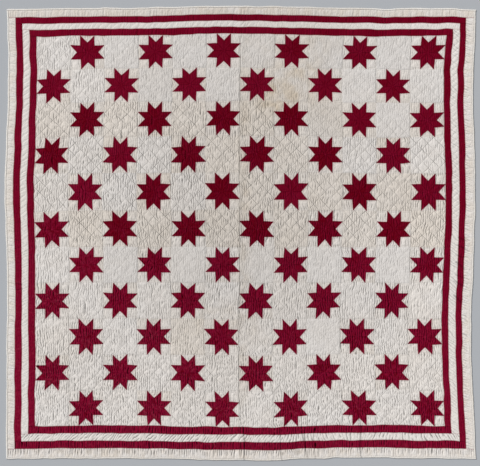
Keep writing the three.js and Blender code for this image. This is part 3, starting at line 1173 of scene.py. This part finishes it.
def backing_cloth():
    """One cloth under everything, drawn up a little along the quilting."""
    left, right, low, high = back_rect
    xs = np.concatenate([
        spaced(left, column_lines[0], BACKING_STEP)[:-1],
        np.linspace(column_lines[0], column_lines[-1], COLUMNS * BACKING_CELLS + 1),
        spaced(column_lines[-1], right, BACKING_STEP)[1:],
    ])
    rows = [np.linspace(a, b, BACKING_CELLS + 1)[:-1] for a, b in zip(row_lines, row_lines[1:])]
    ys = np.concatenate([
        spaced(low, row_lines[0], BACKING_STEP)[:-1], *rows, spaced(row_lines[-1], high, BACKING_STEP),
    ])
    points, faces = sheet_grid(xs, ys)
    x, y = points.T
    row = np.clip(np.searchsorted(row_lines, y, "right") - 1, 0, ROWS - 1)
    height = np.array(ROW_HEIGHTS[::-1])[row]
    u, v = (x - field[0]) / BLOCK_WIDTH, row + (y - row_lines[row]) / height  # counted on from block to block
    phases = hatch_phases(x, y, u, v, height)
    line = hatch_distance(phases, height)
    z = 0.05 + 0.7 * near(line, 4) + 0.12 * (1 + noise(x, y, 20, 40, 71))
    mesh = laid_mesh("backing", x, y, z, faces[:, ::-1])
    phase, drawn = field_tucks(x, y)
    tone = 0.4 + 0.2 * noise(x, y, 200, 200, 72)
    finish_marks(mesh, x, y, tone, (phase, 0.5 * drawn), 1, phases=phases, stain_share=0.3)
    # painted shade along the creases on the back
    note(mesh, "crease_shadow", 0.25 * crease_depth(x, y))
    grain(mesh, x, y)
    return new_piece("backing", mesh, back_cotton)


backing = backing_cloth()


# Quilting stitches

def inset(corners, distance):
    """A patch's outline moved inwards, as a closed line."""
    corners = np.array(corners, float)
    ways = np.roll(corners, -1, 0) - corners
    ways /= np.linalg.norm(ways, axis=1)[:, None]
    inward = np.stack([-ways[:, 1], ways[:, 0]], 1)
    moved = corners + inward * distance
    made = []
    for k in range(len(corners)):
        before = k - 1
        cross = ways[before, 0] * ways[k, 1] - ways[before, 1] * ways[k, 0]
        gap = moved[k] - moved[before]
        step = (gap[0] * ways[k, 1] - gap[1] * ways[k, 0]) / cross
        made.append(moved[before] + ways[before] * step)
    return np.array([*made, made[0]])


def walk(points, step):
    """Even steps along a line through points."""
    points = np.asarray(points, float)
    lengths = np.hypot(*np.diff(points, axis=0).T)
    reached = np.concatenate([[0], np.cumsum(lengths)])
    stops = np.linspace(0, reached[-1], max(2, math.ceil(reached[-1] / step) + 1))
    return np.stack([np.interp(stops, reached, points[:, 0]), np.interp(stops, reached, points[:, 1])], 1)


def on_quilt(corners, column, row):
    """Places on the cut quilt of corners given as shares of a block."""
    return np.stack(in_block(*np.transpose(corners), column, row), 1)


def star_lines(patches, column, row):
    """The quilting inside each patch of a star."""
    return [walk(inset(on_quilt(patch, column, row), ECHO), LINE_STEP) for patch in patches]


def plain_lines(column, row):
    """The quilting that crosses a plain block both ways."""
    made = []
    for k in range(1, 2 * HATCHES):
        reach = k / HATCHES
        ends = (max(0, reach - 1) + SHORT_OF_SEAM, min(1, reach) - SHORT_OF_SEAM)
        for line in ([(u, reach - u) for u in ends], [(u, 1 - reach + u) for u in ends]):
            made.append(walk(on_quilt(line, column, row), LINE_STEP))
    return made


white_lines, red_lines = [], []

for row in range(ROWS):
    for column in range(COLUMNS):
        if (row + column) % 2:
            red_lines += star_lines(diamonds, column, row)
            white_lines += star_lines(squares + triangles, column, row)
        else:
            white_lines += plain_lines(column, row)


def strip_lines(name, rect):
    """The quilting across one border strip."""
    left, right, low, high = rect
    level = is_level(rect)
    start, end = (left, right) if level else (low, high)
    half = half_width(rect) - STRIP_CLEAR
    pitch, lean = STRIP_LINES[name]
    along = np.arange(start + STRIP_END_CLEAR, end - STRIP_END_CLEAR, 1.0)
    across = np.linspace(-half, half, 8)
    phases = np.stack([strip_phase(along, t + 0 * along, pitch, lean) for t in across])
    made = []
    for number in range(math.ceil(phases.min()), math.floor(phases.max()) + 1):
        points = []
        for t, phase in zip(across, phases):
            if phase[0] < number < phase[-1]:
                spot = along[np.argmax(phase > number)]
                points.append((spot, (low + high) / 2 + t) if level else ((left + right) / 2 - t, spot))
        if len(points) > 3:
            made.append(walk(points, LINE_STEP))
    return made


for (name, side), (_, rect) in strips.items():
    if name != "binding":
        (red_lines if name.startswith("red") else white_lines).extend(strip_lines(name, rect))

sew = stitches_tree()


def face_of_cloth():
    """The quilted face as it lies, to find how high it is at any point."""
    points, faces = [], []
    for piece in [*field_pieces, *(strip for strip, _ in strips.values())]:
        mesh = piece.data
        co = np.zeros(3 * len(mesh.vertices), np.float32)
        mesh.vertices.foreach_get("co", co)
        corners = np.zeros(len(mesh.loops), np.int32)
        mesh.loops.foreach_get("vertex_index", corners)
        faces.append(corners.reshape(-1, 3) + sum(len(p) for p in points))
        points.append(co.reshape(-1, 3))
    return BVHTree.FromPolygons(np.vstack(points).tolist(), np.vstack(faces).tolist())


face = face_of_cloth()


def height_at(x, y):
    """Height of the cloth in millimetres under each point, given in metres."""
    down = Vector((0, 0, -1))
    found = [face.ray_cast(Vector((px, py, 0.1)), down)[0] for px, py in zip(x, y)]
    return np.array([SEAM_HEIGHT if spot is None else spot.z / MM for spot in found])


def stitch_object():
    """A plump stitch along X."""
    half, wide, high = STITCH_LENGTH / 2 * MM, STITCH_WIDTH / 2 * MM, STITCH_HEIGHT * MM
    points = [(-half, 0, 0), (half, 0, 0), (0, wide, 0), (0, -wide, 0), (0, 0, high)]
    faces = [(0, 3, 4), (3, 1, 4), (1, 2, 4), (2, 0, 4)]
    mesh = make_mesh("stitch", np.array(points), np.array(faces))
    mesh.shade_smooth()
    return put("stitch", mesh)


def quilting(name, lines, finish, seed):
    """Running stitches along all the lines of one thread."""
    stitch = stitch_object()
    x, y = np.vstack(lines).T
    hand_x, hand_y = hand(x, y)
    x, y = x - hand_x, y - hand_y
    placed_x, placed_y = lie(x, y)
    z = height_at(placed_x * MM, placed_y * MM) + STITCH_LIFT
    mesh = bpy.data.meshes.new(name)
    ends = np.cumsum([len(line) for line in lines])
    first = np.setdiff1d(np.arange(len(x)), ends - 1)
    edges = np.stack([first, first + 1], 1)
    set_points(mesh, placed_x * MM, placed_y * MM, z * MM)
    mesh.edges.add(len(edges))
    mesh.edges.foreach_set("vertices", edges.astype(np.int32).ravel())
    values = {
        "Stitch": stitch,
        "Thread": finish,
        "Stitch every": STITCH_EVERY * MM,
        "Uneven length": 0.2,
        "Uneven turn": 0.1,
        "Seed": seed,
    }
    made = grown(name, mesh, sew, values)
    bpy.data.objects.remove(stitch)
    return new_piece(name, made, finish)


white_quilting = quilting("white_quilting", white_lines, white_thread, 81)
red_quilting = quilting("red_quilting", red_lines, red_thread, 82)


# Light, floor and camera

def look_at(place, target):
    return (Vector(target) - Vector(place)).to_track_quat("-Z", "Y").to_euler()


sun = bpy.data.lights.new("window light", "SUN")
sun.energy, sun.angle, sun.color = 3.0, math.radians(12), (1.0, 0.99, 0.97)
key = put("window light", sun)
key.location = (-2.6, 2.2, 2.0)
key.rotation_euler = look_at(key.location, (0, 0, 0))

world = bpy.data.worlds.new("studio")
world.use_nodes = True
feed_all(world.node_tree, world.node_tree.nodes["Background"], Color=(0.98, 0.99, 1.0), Strength=0.42)
bpy.context.scene.world = world

floor_mesh = bpy.data.meshes.new("floor")
floor_mesh.from_pydata([(-40, -40, 0), (40, -40, 0), (40, 40, 0), (-40, 40, 0)], [], [(0, 1, 2, 3)])
floor_finish, floor_tree, floor_shader = start_material("pale studio floor", 0.9, 0)
feed_all(floor_tree, floor_shader, Base_Color=(0.46, 0.48, 0.51))
floor = new_piece("floor", floor_mesh, floor_finish)

camera_data = bpy.data.cameras.new("camera")
camera_data.lens = 100.6
camera = put("camera", camera_data)
camera.location = (-0.002, 0.0, 6.0)
bpy.context.scene.camera = camera
bpy.context.scene.view_settings.view_transform = "Standard"


# The frame

side = STAR_SIDE * BLOCK_WIDTH

for piece in field_pieces:
    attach(piece, "root")
    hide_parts("field")
for piece in (backing, white_quilting, red_quilting):
    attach(piece, "root")

for (name, where), (piece, rect) in strips.items():
    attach(piece, "root")
    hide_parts(f"{name}_{where}")
    width, length = (rect[1] - rect[0]) * MM, (rect[3] - rect[2]) * MM
    if name == "binding":
        width, length = (width, BINDING_CUT * MM) if is_level(rect) else (BINDING_CUT * MM, length)
